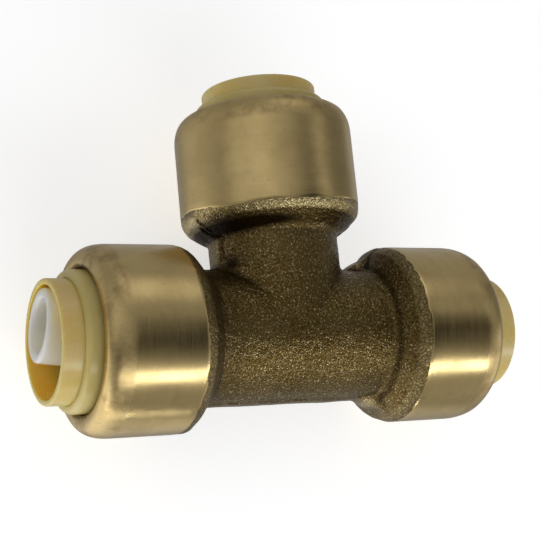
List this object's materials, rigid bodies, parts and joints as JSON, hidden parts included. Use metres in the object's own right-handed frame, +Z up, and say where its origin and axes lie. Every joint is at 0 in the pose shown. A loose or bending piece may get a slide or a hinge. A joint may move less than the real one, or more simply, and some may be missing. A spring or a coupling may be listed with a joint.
{
  "type": "push to connect tee fitting",
  "caption": "Brass push-to-connect tee whose sliding plastic collars release the tube and whose loose liners support it.",
  "frame": {"origin": "on the plane the fitting lies on, under the middle of its bounding box", "axes": "+X along the run towards the right socket, +Y along the branch towards its mouth, +Z up"},
  "size_m": [0.0768, 0.0536, 0.028],
  "materials": {
    "brass": "turned barrels with fine tool marks, rough cast core",
    "tan_plastic": "smooth moulded, slightly translucent",
    "white_plastic": "smooth moulded, slightly translucent",
    "rubber": "smooth, lightly greased",
    "black_plastic": "moulded",
    "stainless_steel": "pressed sheet"
  },
  "bodies": {
    "fitting": {"tee_body": "brass", "left_o_ring": "rubber", "left_o_ring_protector": "black_plastic", "left_collar_retainer": "tan_plastic", "right_o_ring": "rubber", "right_o_ring_protector": "black_plastic", "right_collar_retainer": "tan_plastic", "branch_o_ring": "rubber", "branch_o_ring_protector": "black_plastic", "branch_collar_retainer": "tan_plastic"},
    "left_collar": {"left_release_collar": "tan_plastic"},
    "left_liner": {"left_tube_liner": "white_plastic"},
    "left_ring": {"left_grab_ring": "stainless_steel"},
    "right_collar": {"right_release_collar": "tan_plastic"},
    "right_liner": {"right_tube_liner": "white_plastic"},
    "right_ring": {"right_grab_ring": "stainless_steel"},
    "branch_collar": {"branch_release_collar": "tan_plastic"},
    "branch_liner": {"branch_tube_liner": "white_plastic"},
    "branch_ring": {"branch_grab_ring": "stainless_steel"}
  },
  "joints": [
    {"name": "left_collar_push", "type": "slide", "parent": "fitting", "child": "left_collar", "axis": [1, 0, 0], "range_m": [0, 0.0022]},
    {"name": "left_liner_pull", "type": "slide", "parent": "fitting", "child": "left_liner", "axis": [-1, 0, 0], "range_m": [-0.0017, 0.0233]},
    {"name": "left_grab_ring_turn", "type": "hinge", "parent": "fitting", "child": "left_ring", "pos_m": [-0.02567, -0.01275, 0.014], "axis": [-1, 0, 0], "continuous": true},
    {"name": "right_collar_push", "type": "slide", "parent": "fitting", "child": "right_collar", "axis": [-1, 0, 0], "range_m": [0, 0.0022]},
    {"name": "right_liner_pull", "type": "slide", "parent": "fitting", "child": "right_liner", "axis": [1, 0, 0], "range_m": [0, 0.025]},
    {"name": "right_grab_ring_turn", "type": "hinge", "parent": "fitting", "child": "right_ring", "pos_m": [0.02673, -0.01275, 0.014], "axis": [1, 0, 0], "continuous": true},
    {"name": "branch_collar_push", "type": "slide", "parent": "fitting", "child": "branch_collar", "axis": [0, -1, 0], "range_m": [-0.0007, 0.0015]},
    {"name": "branch_liner_pull", "type": "slide", "parent": "fitting", "child": "branch_liner", "axis": [0, 1, 0], "range_m": [0, 0.025]},
    {"name": "branch_grab_ring_turn", "type": "hinge", "parent": "fitting", "child": "branch_ring", "pos_m": [0.00053, 0.01575, 0.014], "axis": [0, 1, 0], "continuous": true}
  ]
}
